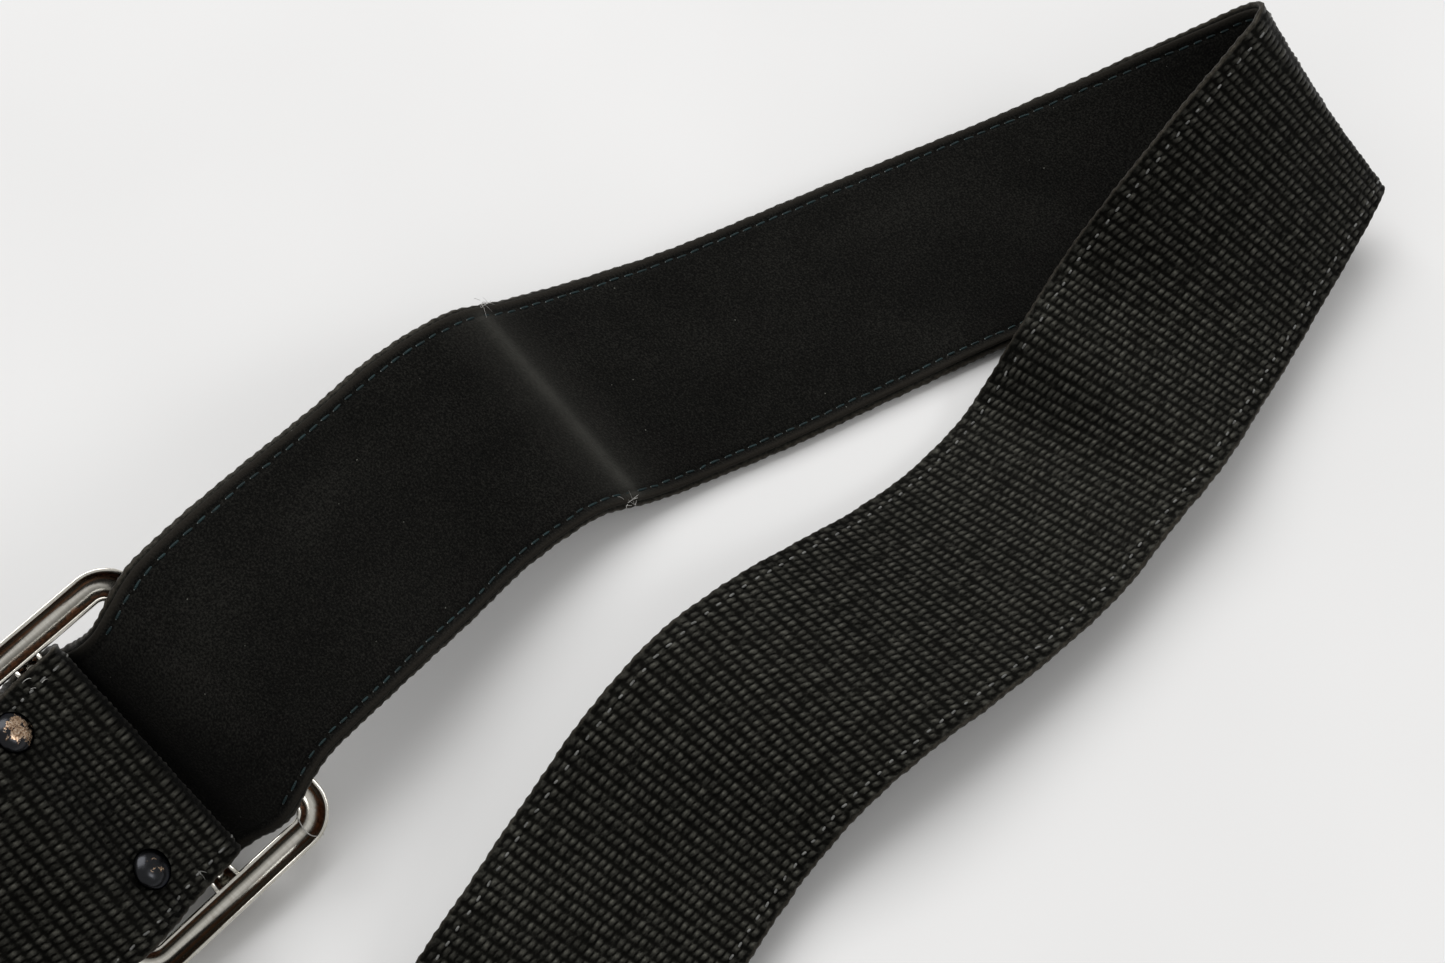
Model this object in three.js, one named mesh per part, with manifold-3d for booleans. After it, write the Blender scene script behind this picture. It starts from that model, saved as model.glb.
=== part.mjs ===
// A dive weight belt: one length of heavy webbing with a suede lining, closed into a loop through
// a double-slot metal slide. Millimetres, +Z up. The loop lies on its side on a flat surface.
import * as THREE from 'three';
import { mergeVertices } from 'three/addons/utils/BufferGeometryUtils.js';
import Module from 'manifold-3d';

const wasm = await Module();
wasm.setup();

// Strap: webbing outside, suede lining inside, with a thread row near each edge of both faces.
const STRAP_WIDTH = 50.8;
const WEBBING_THICKNESS = 1.8;
const LINING_THICKNESS = 0.9;
const LINING_INSET = 0.9;
const TOUCH_GAP = 0.3;
const THREAD_WIDTH = 0.8;
const THREAD_HEIGHT = 0.25;
const THREAD_INSET = 3.1;
const END_ROW_INSET = 4.5;
const END_ROW_PLACE = 0.5;
const LINING_ROW_END = 3;

// Heights of the faces above the joint between webbing and lining, towards the webbing side.
const WEBBING_INNER = TOUCH_GAP / 2;
const WEBBING_OUTER = WEBBING_INNER + WEBBING_THICKNESS;
const LINING_OUTER = -TOUCH_GAP / 2;
const LINING_INNER = LINING_OUTER - LINING_THICKNESS;
const WEBBING_THREAD = WEBBING_OUTER + TOUCH_GAP;
const LINING_THREAD = LINING_INNER - TOUCH_GAP;

// Buckle: a stamped frame of half-round channel with a fixed centre bar.
const FRAME_LENGTH = 48;
const FRAME_WIDTH = 66;
const FRAME_CORNER = 8;
const RAIL_WIDTH = 6;
const BAR_WIDTH = 5.2;
const FRAME_DEPTH = 3.2;
const SHEET = 0.8;
const CORNER_STEPS = 6;
const PROFILE_STEPS = 8;

// Rivets through the folded-back end: places along and across the slide's frame.
const RIVETS = [
  { edge: 'upper', along: -12.8, across: -20.5 },
  { edge: 'lower', along: -11.3, across: 13.8 },
];
const RIVET_ALONG = -12;
const RIVET_HEIGHT = 7.7;
const RIVET_SLOPE = 0.62;
const RIVET_HEAD_RADIUS = 3.8;
const RIVET_HEAD_HEIGHT = 2.4;
const RIVET_SHANK_RADIUS = 1.1;
const RIVET_HOLE_RADIUS = 1.4;
const WASHER_RADIUS = 2.5;
const WASHER_THICKNESS = 0.3;
const CLINCH_RADIUS = 1.9;
const CLINCH_THICKNESS = 0.3;
const HEAD_BASE = 4.5;
const WASHER_TOP = -3.7;
const CLINCH_BASE = WASHER_TOP - WASHER_THICKNESS - TOUCH_GAP;
const PUNCH_LENGTH = 9;
const RIVET_SIDES = 24;
const HOLE_SIDES = 12;
const DOME_STEPS = 5;

// How the slide lies: its centre, its heading on the ground, and how far it rises and rolls.
const BUCKLE_CENTRE = new THREE.Vector3(-107.7, -73.7, 24.3);
const BUCKLE_HEADING = 49;
const BUCKLE_RISE = -2;
const BUCKLE_DIP = 34.5;
const FRAME_TILT = 6;
const MAIN_SKEW = 2.5;
const TAIL_SKEW = 4;
const SKEW_REACH = 12;

// Sampling of the strap along its route.
const LONGEST_STEP = 14;
const SHARPEST_STEP = 26;

// Route of the folded-back end, round the centre bar and away, in the slide's frame:
// along the belt, towards the upper edge, and height.
const FOLD_ROUTE = [
  [-58, 2.7, 11.9], [-45, 2.4, 12.2], [-32, 2, 12.4], [-24, 1.7, 12.6], [-20, 1.6, 12.6],
  [-16.5, 1.4, 11.9], [-12, 1.2, 9.1], [-8, 1.1, 6.3], [-4, 1.1, 4.7], [0, 1.1, 3.8], [3.2, 1.1, 3.1],
  [4.5, 1.1, 0], [3.2, 1.1, -3.1], [0, 1.1, -3.8], [-3.2, 1.1, -3.3], [-5.7, 1.1, -0.8],
  [-8, 1.1, 3.3], [-12, 1.2, 6.3], [-16.5, 1.4, 9.1], [-20, 1.6, 10.1], [-24, 1.7, 10.1],
  [-32, 2, 9.9], [-45, 2.4, 9.6], [-58, 2.7, 9.2],
];
const TURN_START = 8;
const TURN_END = 14;

// Route of the tail through the slide: over the near end bar, under the centre bar, over the far one.
const TAIL_ROUTE = [
  [26, 4, 9.9], [21.5, 2.9, 9.5], [17, 1.2, 8.8], [13.3, -0.5, 6.2], [10.4, -1.2, 1.3],
  [8.4, -1.2, -3.8], [4.6, -1.1, -7.5], [0, -0.9, -8.1], [-4, -0.6, -7.6], [-8, -0.3, -5.2],
  [-12, 0.1, -1.4], [-16.5, 0.5, 3], [-20, 0.8, 5.2], [-24, 1, 5.5],
];

// The tail's free end beyond the slide, down to the ground, as on LOOP_ROUTE.
const TAIL_END_ROUTE = [
  [-134, -107.5, 23, -42, 28], [-147, -122, 15, -42, 20], [-159, -135.5, 8, -42, 11],
  [-169, -146.5, 4.2, -42, 4], [-177, -155.5, 3, -42, 1],
];

// The loop beyond the slide: middle of the strap x, y, z, and its width's compass and dip in degrees.
const LOOP_ROUTE = [
  [-157, -132.5, 32.5, -42, 42], [-170, -147, 30.5, -42, 56], [-182, -160.5, 28.5, -38, 70],
  [-193, -180.5, 27, -15, 84], [-193, -206.5, 26.5, 15, 90], [-180, -229, 26.5, 45, 90],
  [-157.5, -241.5, 26.5, 75, 90], [-131.5, -241.5, 26.5, 105, 90], [-113, -231.5, 26, -50, 85],
  [-101.5, -219, 25, -41, 72], [-88, -200, 20.5, -38, 50], [-73, -177, 13, -36, 28],
  [-59, -155, 7, -35, 12],
  [-45.5, -134, 3.8, -34, 2], [-29, -109.6, 7.2, -34.2, 7], [-15.8, -88.8, 9.8, -35.9, 7.5],
  [-4.2, -72.3, 12.8, -38, 12], [7.2, -59.5, 15, -42.5, 8.5], [20.7, -47.8, 14.8, -44.5, 2.5],
  [33.3, -37.7, 12, -43, -1.5], [46, -27.3, 9, -41, -5.5], [59.2, -14.7, 7, -39.5, -8.5],
  [71.6, 0.4, 7.4, -38.5, -10], [81.6, 13.4, 12.9, -37, 0], [91, 28, 14.3, -34, 9],
  [102.5, 43.5, 19.6, -30, 24], [111.7, 55.4, 24.3, -28, 31.5], [118.6, 64.4, 27.5, -26.5, 37],
  [122.4, 69.6, 29.2, -26, 40], [124.8, 73.2, 29.8, -28, 43], [124.3, 75.8, 28.4, -38, 46],
  [120.5, 75.6, 25.5, -48, 43.5], [115, 74, 22.4, -55, 38.5], [105, 71.6, 17.8, -61, 30.5],
  [90.7, 67.8, 13.2, -64.1, 19.8], [73, 63.7, 8.1, -62.1, 10.3], [49.1, 53.9, 6.2, -59.3, 7.6],
  [25.2, 41.2, 6.8, -56.9, 9.2], [1.4, 28, 8.2, -54.5, 12.5], [-15.2, 18.8, 10.8, -51.6, 18.5],
  [-28.6, 10, 16, -48.5, 27.5], [-37.8, 4.4, 20.8, -47.5, 30], [-45.2, -1.9, 23.3, -47.1, 30],
  [-53.7, -10.7, 25.5, -46.6, 30], [-62.2, -21.4, 27.1, -45.6, 29.8], [-75.9, -39.2, 32.1, -44.1, 29.5],
];

const colour = {
  webbing: new THREE.MeshStandardMaterial({ color: 0x131312, roughness: 0.75, metalness: 0 }),
  suede: new THREE.MeshStandardMaterial({ color: 0x0c0c0b, roughness: 1, metalness: 0 }),
  thread: new THREE.MeshStandardMaterial({ color: 0x3a3a3a, roughness: 0.7, metalness: 0 }),
  nickel: new THREE.MeshStandardMaterial({ color: 0xb5aea2, roughness: 0.25, metalness: 1 }),
  enamel: new THREE.MeshStandardMaterial({ color: 0x17181b, roughness: 0.35, metalness: 0.3 }),
  brass: new THREE.MeshStandardMaterial({ color: 0xa08450, roughness: 0.4, metalness: 1 }),
};

const radians = THREE.MathUtils.degToRad;

/** A unit vector that points along a compass angle and dips below the horizon, both in degrees. */
function dipping(compass, dip) {
  const level = Math.cos(radians(dip));
  return new THREE.Vector3(
    level * Math.cos(radians(compass)), level * Math.sin(radians(compass)), -Math.sin(radians(dip)));
}

/** The strap's frame at the slide: x along the belt, y across it, z to the inner side. */
function makeBuckleFrame() {
  const along = dipping(BUCKLE_HEADING, -BUCKLE_RISE);
  const up = dipping(BUCKLE_HEADING - 90, BUCKLE_DIP).cross(along).normalize();
  const across = up.clone().cross(along);
  return new THREE.Matrix4().makeBasis(along, across, up).setPosition(BUCKLE_CENTRE);
}

const buckleFrame = makeBuckleFrame();

/** A place on the strap: the middle of its width, and the direction of its width. */
function station(middle, across) {
  return { middle, across };
}

/** A place in the slide; skew is how far the strap's width turns from square, in degrees. */
function stationAtBuckle([along, shift, height], skew) {
  const across = new THREE.Vector3(Math.sin(radians(skew)), -Math.cos(radians(skew)), 0);
  return station(
    new THREE.Vector3(along, shift, height).applyMatrix4(buckleFrame), across.transformDirection(buckleFrame));
}

/** The strap lies square to the centre bar where it turns round it, and a little askew beyond. */
function stationOnFold(place, i) {
  const turning = i >= TURN_START && i <= TURN_END;
  return stationAtBuckle(place, turning ? 0 : -MAIN_SKEW * Math.min(1, -place[0] / SKEW_REACH));
}

function stationOnTail(place) {
  const share = Math.min(1, Math.abs(place[0]) / SKEW_REACH);
  return stationAtBuckle(place, place[0] > 0 ? TAIL_SKEW * share : -MAIN_SKEW * share);
}

function stationOnLoop([x, y, z, compass, dip]) {
  return station(new THREE.Vector3(x, y, z), dipping(compass, dip));
}

/** How many steps the strap takes from one station to the next: more where it bends. */
function stepsBetween(stations, i) {
  const chord = (a, b) => b.middle.clone().sub(a.middle);
  const here = chord(stations[i], stations[i + 1]);
  const before = chord(stations[Math.max(i - 1, 0)], stations[Math.max(i, 1)]);
  const after = chord(stations[Math.min(i + 1, stations.length - 2)], stations[Math.min(i + 2, stations.length - 1)]);
  const bend = THREE.MathUtils.radToDeg(Math.max(here.angleTo(before), here.angleTo(after)));
  return Math.max(Math.ceil(here.length() / LONGEST_STEP), Math.ceil(bend / SHARPEST_STEP));
}

/** Smooth frames along the strap: both edges are splines, so the width stays straight across. */
function layOut(stations) {
  const edge = (side) => new THREE.CatmullRomCurve3(stations.map(
    ({ middle, across }) => middle.clone().addScaledVector(across, side * STRAP_WIDTH / 2)), false, 'centripetal');
  const left = edge(-1);
  const right = edge(1);
  const places = [0];
  for (let i = 0; i < stations.length - 1; i++) {
    const steps = stepsBetween(stations, i);
    for (let k = 1; k <= steps; k++) {
      places.push((i + k / steps) / (stations.length - 1));
    }
  }
  return places.map((t) => {
    const place = t * (stations.length - 1);
    const a = left.getPoint(t);
    const b = right.getPoint(t);
    const along = left.getTangent(t).add(right.getTangent(t)).normalize();
    const across = b.clone().sub(a).normalize();
    const out = across.clone().cross(along).normalize();
    return { middle: a.add(b).multiplyScalar(0.5), across, out, place };
  });
}

/** A solid from a grid of rings, with a flat cap at each end; its faces point out. */
function solidFromRings(rings) {
  const sides = rings[0].length;
  const vertices = rings.flat().flatMap((p) => p.toArray());
  const triangles = [];
  for (let r = 0; r < rings.length - 1; r++) {
    for (let s = 0; s < sides; s++) {
      const a = r * sides + s;
      const b = r * sides + (s + 1) % sides;
      triangles.push(a, b, b + sides, a, b + sides, a + sides);
    }
  }
  const last = (rings.length - 1) * sides;
  for (let s = 1; s < sides - 1; s++) {
    triangles.push(0, s + 1, s, last, last + s, last + s + 1);
  }
  const geometry = new THREE.BufferGeometry();
  geometry.setAttribute('position', new THREE.Float32BufferAttribute(vertices, 3));
  geometry.setIndex(triangles);
  return geometry;
}

/** A ribbon that follows the strap at places across it, between two heights over its joint. */
function ribbon(route, places, low, high) {
  const count = places.length;
  const point = ({ middle, across, out }, place, height) => (
    middle.clone().addScaledVector(across, place).addScaledVector(out, height));
  const layer = (height) => route.flatMap((frame) => places.map((place) => point(frame, place, height)));
  const points = [...layer(low), ...layer(high)];
  const top = route.length * count;
  const triangles = [];
  const quad = (a, b, c, d) => triangles.push(a, b, c, a, c, d);
  for (let r = 0; r < route.length - 1; r++) {
    const start = r * count;
    for (let c = 0; c < count - 1; c++) {
      const [a, b] = [start + c, start + c + count];
      triangles.push(a, a + 1, b + 1, a, b + 1, b);
      triangles.push(top + a, top + b + 1, top + a + 1, top + a, top + b, top + b + 1);
    }
    quad(start, start + count, top + start + count, top + start);
    const end = start + count - 1;
    quad(end, top + end, top + end + count, end + count);
  }
  for (let c = 0; c < count - 1; c++) {
    quad(c, top + c, top + c + 1, c + 1);
    const last = top - count + c;
    quad(last, last + 1, top + last + 1, top + last);
  }
  const geometry = new THREE.BufferGeometry();
  geometry.setAttribute('position', new THREE.Float32BufferAttribute(points.flatMap((q) => q.toArray()), 3));
  geometry.setIndex(triangles);
  return outward(geometry);
}

/** A solid that manifold can join and cut, from a closed three.js geometry. */
function toManifold(geometry) {
  const bare = geometry.clone();
  bare.deleteAttribute('normal');
  bare.deleteAttribute('uv');
  const merged = mergeVertices(bare, 1e-4);
  return new wasm.Manifold(new wasm.Mesh({
    numProp: 3,
    vertProperties: new Float32Array(merged.attributes.position.array),
    triVerts: new Uint32Array(merged.index.array),
  }));
}

function fromManifold(solid) {
  const { vertProperties, triVerts } = solid.getMesh();
  const geometry = new THREE.BufferGeometry();
  geometry.setAttribute('position', new THREE.BufferAttribute(vertProperties, 3));
  geometry.setIndex(new THREE.BufferAttribute(triVerts, 1));
  return geometry;
}

/** The upper or lower half-round profile of a rail: [offset from its centre line, height]. */
function halfRound(width, depth, wall) {
  const points = [];
  for (let i = 0; i <= PROFILE_STEPS; i++) {
    const angle = Math.PI * i / PROFILE_STEPS;
    points.push([-(width / 2 - wall) * Math.cos(angle), depth / 2 - (depth - wall) * Math.sin(angle)]);
  }
  return wall === 0 ? points : [...points, ...[[width / 2 - wall, depth], [wall - width / 2, depth]]];
}

/** The frame's outer ring as a closed sweep round a rounded rectangle. */
function ringSolid(wall) {
  const halfLength = (FRAME_LENGTH - RAIL_WIDTH) / 2;
  const halfWidth = (FRAME_WIDTH - RAIL_WIDTH) / 2;
  const radius = FRAME_CORNER - RAIL_WIDTH / 2;
  const profile = halfRound(RAIL_WIDTH, FRAME_DEPTH, wall);
  const rings = [];
  const corners = [[1, 1], [-1, 1], [-1, -1], [1, -1]];
  corners.forEach(([sx, sy], c) => {
    const centre = new THREE.Vector2(sx * (halfLength - radius), sy * (halfWidth - radius));
    for (let i = 0; i <= CORNER_STEPS; i++) {
      const angle = Math.PI / 2 * (c + i / CORNER_STEPS);
      rings.push(profile.map(([offset, height]) => new THREE.Vector3(
        centre.x + (radius + offset) * Math.cos(angle),
        centre.y + (radius + offset) * Math.sin(angle), height)));
    }
  });
  const sides = profile.length;
  const triangles = [];
  for (let r = 0; r < rings.length; r++) {
    const next = (r + 1) % rings.length;
    for (let s = 0; s < sides; s++) {
      const t = (s + 1) % sides;
      triangles.push(r * sides + s, r * sides + t, next * sides + t);
      triangles.push(r * sides + s, next * sides + t, next * sides + s);
    }
  }
  const geometry = new THREE.BufferGeometry();
  geometry.setAttribute('position', new THREE.Float32BufferAttribute(
    rings.flat().flatMap((p) => p.toArray()), 3));
  geometry.setIndex(triangles);
  return outward(geometry);
}

/** The centre bar as a straight channel across the frame. */
function barSolid(wall) {
  const reach = FRAME_WIDTH / 2 - RAIL_WIDTH / 2;
  const profile = halfRound(BAR_WIDTH, FRAME_DEPTH, wall);
  return outward(solidFromRings([-reach, reach].map((y) => (
    profile.map(([offset, height]) => new THREE.Vector3(offset, y, height))))));
}

/** Turns every face round when a closed surface encloses a negative volume. */
function outward(geometry) {
  const position = geometry.attributes.position;
  const index = geometry.index.array;
  const corner = (k) => new THREE.Vector3().fromBufferAttribute(position, index[k]);
  let volume = 0;
  for (let k = 0; k < index.length; k += 3) {
    volume += corner(k).dot(corner(k + 1).cross(corner(k + 2)));
  }
  if (volume < 0) {
    for (let k = 0; k < index.length; k += 3) {
      [index[k + 1], index[k + 2]] = [index[k + 2], index[k + 1]];
    }
  }
  return geometry;
}

/** A lathed solid with its seam and poles merged, so that it is one closed surface. */
function closed(geometry) {
  return fromManifold(toManifold(outward(geometry)));
}

/** Stamped frame: a half-round ring and bar, hollowed from the inner side. */
function buckleGeometry() {
  const solid = toManifold(ringSolid(0)).add(toManifold(barSolid(0)));
  const hollow = toManifold(ringSolid(SHEET)).add(toManifold(barSolid(SHEET)));
  return fromManifold(solid.subtract(hollow));
}

const belt = new THREE.Group();

function addPiece(name, geometry, material, parent = belt) {
  const mesh = new THREE.Mesh(geometry, material);
  mesh.name = name;
  parent.add(mesh);
  return mesh;
}

// The whole strap: folded-back end, round the centre bar, round the loop, back through the slide.
const frames = layOut([
  ...FOLD_ROUTE.map(stationOnFold), ...LOOP_ROUTE.map(stationOnLoop),
  ...TAIL_ROUTE.map(stationOnTail), ...TAIL_END_ROUTE.map(stationOnLoop)]);
const half = STRAP_WIDTH / 2;

/** The frames from one strap station to another, counted along the whole route. */
function stretch(first, last) {
  return frames.filter(({ place }) => place >= first && place <= last);
}

/** Where a rivet stands: square on the strap, midway between its two layers. */
function rivetPlace(along, across) {
  const at = (z) => new THREE.Vector3(along, -across, z);
  const height = RIVET_HEIGHT - RIVET_SLOPE * (along - RIVET_ALONG);
  const frame = new THREE.Matrix4().makeRotationY(Math.atan(RIVET_SLOPE));
  return frame.setPosition(at(height)).premultiply(buckleFrame);
}

/** A domed rivet: head, shank, and the clinched end under its washer, along +Z. */
function rivetGeometry() {
  const dome = [];
  for (let i = 0; i <= DOME_STEPS; i++) {
    const angle = Math.PI / 2 * i / DOME_STEPS;
    dome.push(new THREE.Vector2(
      RIVET_HEAD_RADIUS * Math.cos(angle), HEAD_BASE + RIVET_HEAD_HEIGHT * Math.sin(angle)));
  }
  dome.at(-1).x = 0;
  return new THREE.LatheGeometry([
    new THREE.Vector2(0, CLINCH_BASE - CLINCH_THICKNESS),
    new THREE.Vector2(CLINCH_RADIUS, CLINCH_BASE - CLINCH_THICKNESS),
    new THREE.Vector2(CLINCH_RADIUS, CLINCH_BASE),
    new THREE.Vector2(RIVET_SHANK_RADIUS, CLINCH_BASE),
    new THREE.Vector2(RIVET_SHANK_RADIUS, HEAD_BASE),
    ...dome,
  ], RIVET_SIDES).rotateX(Math.PI / 2);
}

/** The thin washer that the rivet's clinched end bears on. */
function washerGeometry() {
  const corners = [[RIVET_HOLE_RADIUS, 0], [WASHER_RADIUS, 0], [WASHER_RADIUS, -WASHER_THICKNESS],
    [RIVET_HOLE_RADIUS, -WASHER_THICKNESS], [RIVET_HOLE_RADIUS, 0]];
  return new THREE.LatheGeometry(corners.map(([radius, height]) => (
    new THREE.Vector2(radius, WASHER_TOP + height))), RIVET_SIDES).rotateX(Math.PI / 2);
}

/** Cuts the rivets' holes through a layer of the strap. */
function punched(geometry) {
  let solid = toManifold(geometry);
  for (const { along, across } of RIVETS) {
    const punch = new THREE.CylinderGeometry(RIVET_HOLE_RADIUS, RIVET_HOLE_RADIUS, PUNCH_LENGTH, HOLE_SIDES);
    punch.rotateX(Math.PI / 2).applyMatrix4(rivetPlace(along, across));
    solid = solid.subtract(toManifold(punch));
  }
  return fromManifold(solid);
}

/** A thread row along the strap: at a distance across it, over one of its faces. */
function threadRow(route, across, base, rise) {
  return ribbon(route, [across - THREAD_WIDTH / 2, across + THREAD_WIDTH / 2], base, base + rise);
}

/** A thread row across the strap near one of its ends, over the webbing. */
function endRow(place) {
  const at = frames.reduce((best, frame) => (
    Math.abs(frame.place - place) < Math.abs(best.place - place) ? frame : best));
  const length = STRAP_WIDTH - 2 * END_ROW_INSET;
  const along = at.across.clone().cross(at.out);
  const basis = new THREE.Matrix4().makeBasis(along, at.across, at.out);
  const middle = at.middle.clone().addScaledVector(at.out, WEBBING_THREAD + THREAD_HEIGHT / 2);
  return new THREE.BoxGeometry(THREAD_WIDTH, length, THREAD_HEIGHT).applyMatrix4(basis.setPosition(middle));
}

const rowReach = half - THREAD_INSET;
const linedHalf = half - LINING_INSET;
const webbing = ribbon(frames, [-half, -rowReach, rowReach, half], WEBBING_INNER, WEBBING_OUTER);
const lining = ribbon(frames, [-linedHalf, -rowReach, rowReach, linedHalf], LINING_INNER, LINING_OUTER);
addPiece('strap_webbing', punched(webbing), colour.webbing);
addPiece('strap_lining', punched(lining), colour.suede);

// Stitching: a row near each edge, seen on the webbing everywhere and on the suede round the loop.
const liningRows = stretch(FOLD_ROUTE.length - 1, FOLD_ROUTE.length + LOOP_ROUTE.length + LINING_ROW_END);
for (const [edge, across] of [['upper', -rowReach], ['lower', rowReach]]) {
  addPiece(`thread_webbing_${edge}`, threadRow(frames, across, WEBBING_THREAD, THREAD_HEIGHT), colour.thread);
  addPiece(`thread_lining_${edge}`, threadRow(liningRows, across, LINING_THREAD, -THREAD_HEIGHT), colour.thread);
}
addPiece('thread_fold_end', endRow(END_ROW_PLACE), colour.thread);
addPiece('thread_tail_end', endRow(frames.at(-1).place - END_ROW_PLACE), colour.thread);

const frameTilt = new THREE.Matrix4().makeRotationY(-radians(FRAME_TILT)).premultiply(buckleFrame);
addPiece('buckle_frame', buckleGeometry(), colour.nickel).applyMatrix4(frameTilt);

for (const { edge, along, across } of RIVETS) {
  addPiece(`rivet_${edge}`, closed(rivetGeometry()), colour.enamel).applyMatrix4(rivetPlace(along, across));
  addPiece(`washer_${edge}`, closed(washerGeometry()), colour.brass).applyMatrix4(rivetPlace(along, across));
}

// The origin is the middle of the belt's outline, on the ground.
const extent = new THREE.Box3().setFromObject(belt, true);
const ground = extent.getCenter(new THREE.Vector3()).setZ(extent.min.z);
belt.position.copy(ground.negate());

export default belt;
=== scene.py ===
import math
import bmesh
import bpy
import numpy as np
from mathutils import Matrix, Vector


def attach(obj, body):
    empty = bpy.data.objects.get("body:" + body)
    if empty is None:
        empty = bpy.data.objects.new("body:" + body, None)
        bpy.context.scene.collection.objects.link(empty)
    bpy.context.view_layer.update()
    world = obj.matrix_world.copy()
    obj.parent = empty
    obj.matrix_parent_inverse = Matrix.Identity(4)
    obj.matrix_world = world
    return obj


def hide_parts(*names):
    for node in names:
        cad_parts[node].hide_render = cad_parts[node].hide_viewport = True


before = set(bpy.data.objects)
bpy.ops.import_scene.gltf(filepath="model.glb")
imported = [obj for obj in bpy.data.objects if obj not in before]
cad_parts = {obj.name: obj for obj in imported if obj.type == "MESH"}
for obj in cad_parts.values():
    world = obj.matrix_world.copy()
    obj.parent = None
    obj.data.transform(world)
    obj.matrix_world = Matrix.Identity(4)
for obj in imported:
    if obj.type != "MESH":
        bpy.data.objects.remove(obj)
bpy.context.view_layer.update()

MM = 0.001

# ---------------------------------------------------------------- the strap's route, as in the CAD
# OFFSET moves the CAD's own places to the row frame. The routes are in millimetres: those of the fold
# and the tail in the slide's frame, the others in the CAD's, each with its width's compass and dip.
OFFSET = np.array([27.64564514, 76.85653687, -0.11605089]) * MM
STRAP_WIDTH = 50.8 * MM
HALF = STRAP_WIDTH / 2
BUCKLE_CENTRE = np.array([-107.7, -73.7, 24.3]) * MM
BUCKLE_HEADING, BUCKLE_RISE, BUCKLE_DIP, FRAME_TILT = 49, -2, 34.5, 6
MAIN_SKEW, TAIL_SKEW, SKEW_REACH = 2.5, 4, 12 * MM
FOLD_ROUTE = [
    (-58, 2.7, 11.9), (-45, 2.4, 12.2), (-32, 2, 12.4), (-24, 1.7, 12.6), (-20, 1.6, 12.6),
    (-16.5, 1.4, 11.9), (-12, 1.2, 9.1), (-8, 1.1, 6.3), (-4, 1.1, 4.7), (0, 1.1, 3.8),
    (3.2, 1.1, 3.1), (4.5, 1.1, 0), (3.2, 1.1, -3.1), (0, 1.1, -3.8), (-3.2, 1.1, -3.3),
    (-5.7, 1.1, -0.8), (-8, 1.1, 3.3), (-12, 1.2, 6.3), (-16.5, 1.4, 9.1), (-20, 1.6, 10.1),
    (-24, 1.7, 10.1), (-32, 2, 9.9), (-45, 2.4, 9.6), (-58, 2.7, 9.2),
]
TURN_START, TURN_END = 8, 14
TAIL_ROUTE = [
    (26, 4, 9.9), (21.5, 2.9, 9.5), (17, 1.2, 8.8), (13.3, -0.5, 6.2), (10.4, -1.2, 1.3),
    (8.4, -1.2, -3.8), (4.6, -1.1, -7.5), (0, -0.9, -8.1), (-4, -0.6, -7.6), (-8, -0.3, -5.2),
    (-12, 0.1, -1.4), (-16.5, 0.5, 3), (-20, 0.8, 5.2), (-24, 1, 5.5),
]
TAIL_END_ROUTE = [
    (-134, -107.5, 23, -42, 28), (-147, -122, 15, -42, 20), (-159, -135.5, 8, -42, 11),
    (-169, -146.5, 4.2, -42, 4), (-177, -155.5, 3, -42, 1),
]
LOOP_ROUTE = [
    (-157, -132.5, 32.5, -42, 42), (-170, -147, 30.5, -42, 56), (-182, -160.5, 28.5, -38, 70),
    (-193, -180.5, 27, -15, 84), (-193, -206.5, 26.5, 15, 90), (-180, -229, 26.5, 45, 90),
    (-157.5, -241.5, 26.5, 75, 90), (-131.5, -241.5, 26.5, 105, 90), (-113, -231.5, 26, -50, 85),
    (-101.5, -219, 25, -41, 72), (-88, -200, 20.5, -38, 50), (-73, -177, 13, -36, 28),
    (-59, -155, 7, -35, 12),
    (-45.5, -134, 3.8, -34, 2), (-29, -109.6, 7.2, -34.2, 7), (-15.8, -88.8, 9.8, -35.9, 7.5),
    (-4.2, -72.3, 12.8, -38, 12), (7.2, -59.5, 15, -42.5, 8.5), (20.7, -47.8, 14.8, -44.5, 2.5),
    (33.3, -37.7, 12, -43, -1.5), (46, -27.3, 9, -41, -5.5), (59.2, -14.7, 7, -39.5, -8.5),
    (71.6, 0.4, 7.4, -38.5, -10), (81.6, 13.4, 12.9, -37, 0), (91, 28, 14.3, -34, 9),
    (102.5, 43.5, 19.6, -30, 24), (111.7, 55.4, 24.3, -28, 31.5), (118.6, 64.4, 27.5, -26.5, 37),
    (122.4, 69.6, 29.2, -26, 40), (124.8, 73.2, 29.8, -28, 43), (124.3, 75.8, 28.4, -38, 46),
    (120.5, 75.6, 25.5, -48, 43.5), (115, 74, 22.4, -55, 38.5), (105, 71.6, 17.8, -61, 30.5),
    (90.7, 67.8, 13.2, -64.1, 19.8), (73, 63.7, 8.1, -62.1, 10.3), (49.1, 53.9, 6.2, -59.3, 7.6),
    (25.2, 41.2, 6.8, -56.9, 9.2), (1.4, 28, 8.2, -54.5, 12.5), (-15.2, 18.8, 10.8, -51.6, 18.5),
    (-28.6, 10, 16, -48.5, 27.5), (-37.8, 4.4, 20.8, -47.5, 30), (-45.2, -1.9, 23.3, -47.1, 30),
    (-53.7, -10.7, 25.5, -46.6, 30), (-62.2, -21.4, 27.1, -45.6, 29.8), (-75.9, -39.2, 32.1, -44.1, 29.5),
]
LOOP_START = len(FOLD_ROUTE)
TAIL_START = LOOP_START + len(LOOP_ROUTE)

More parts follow.
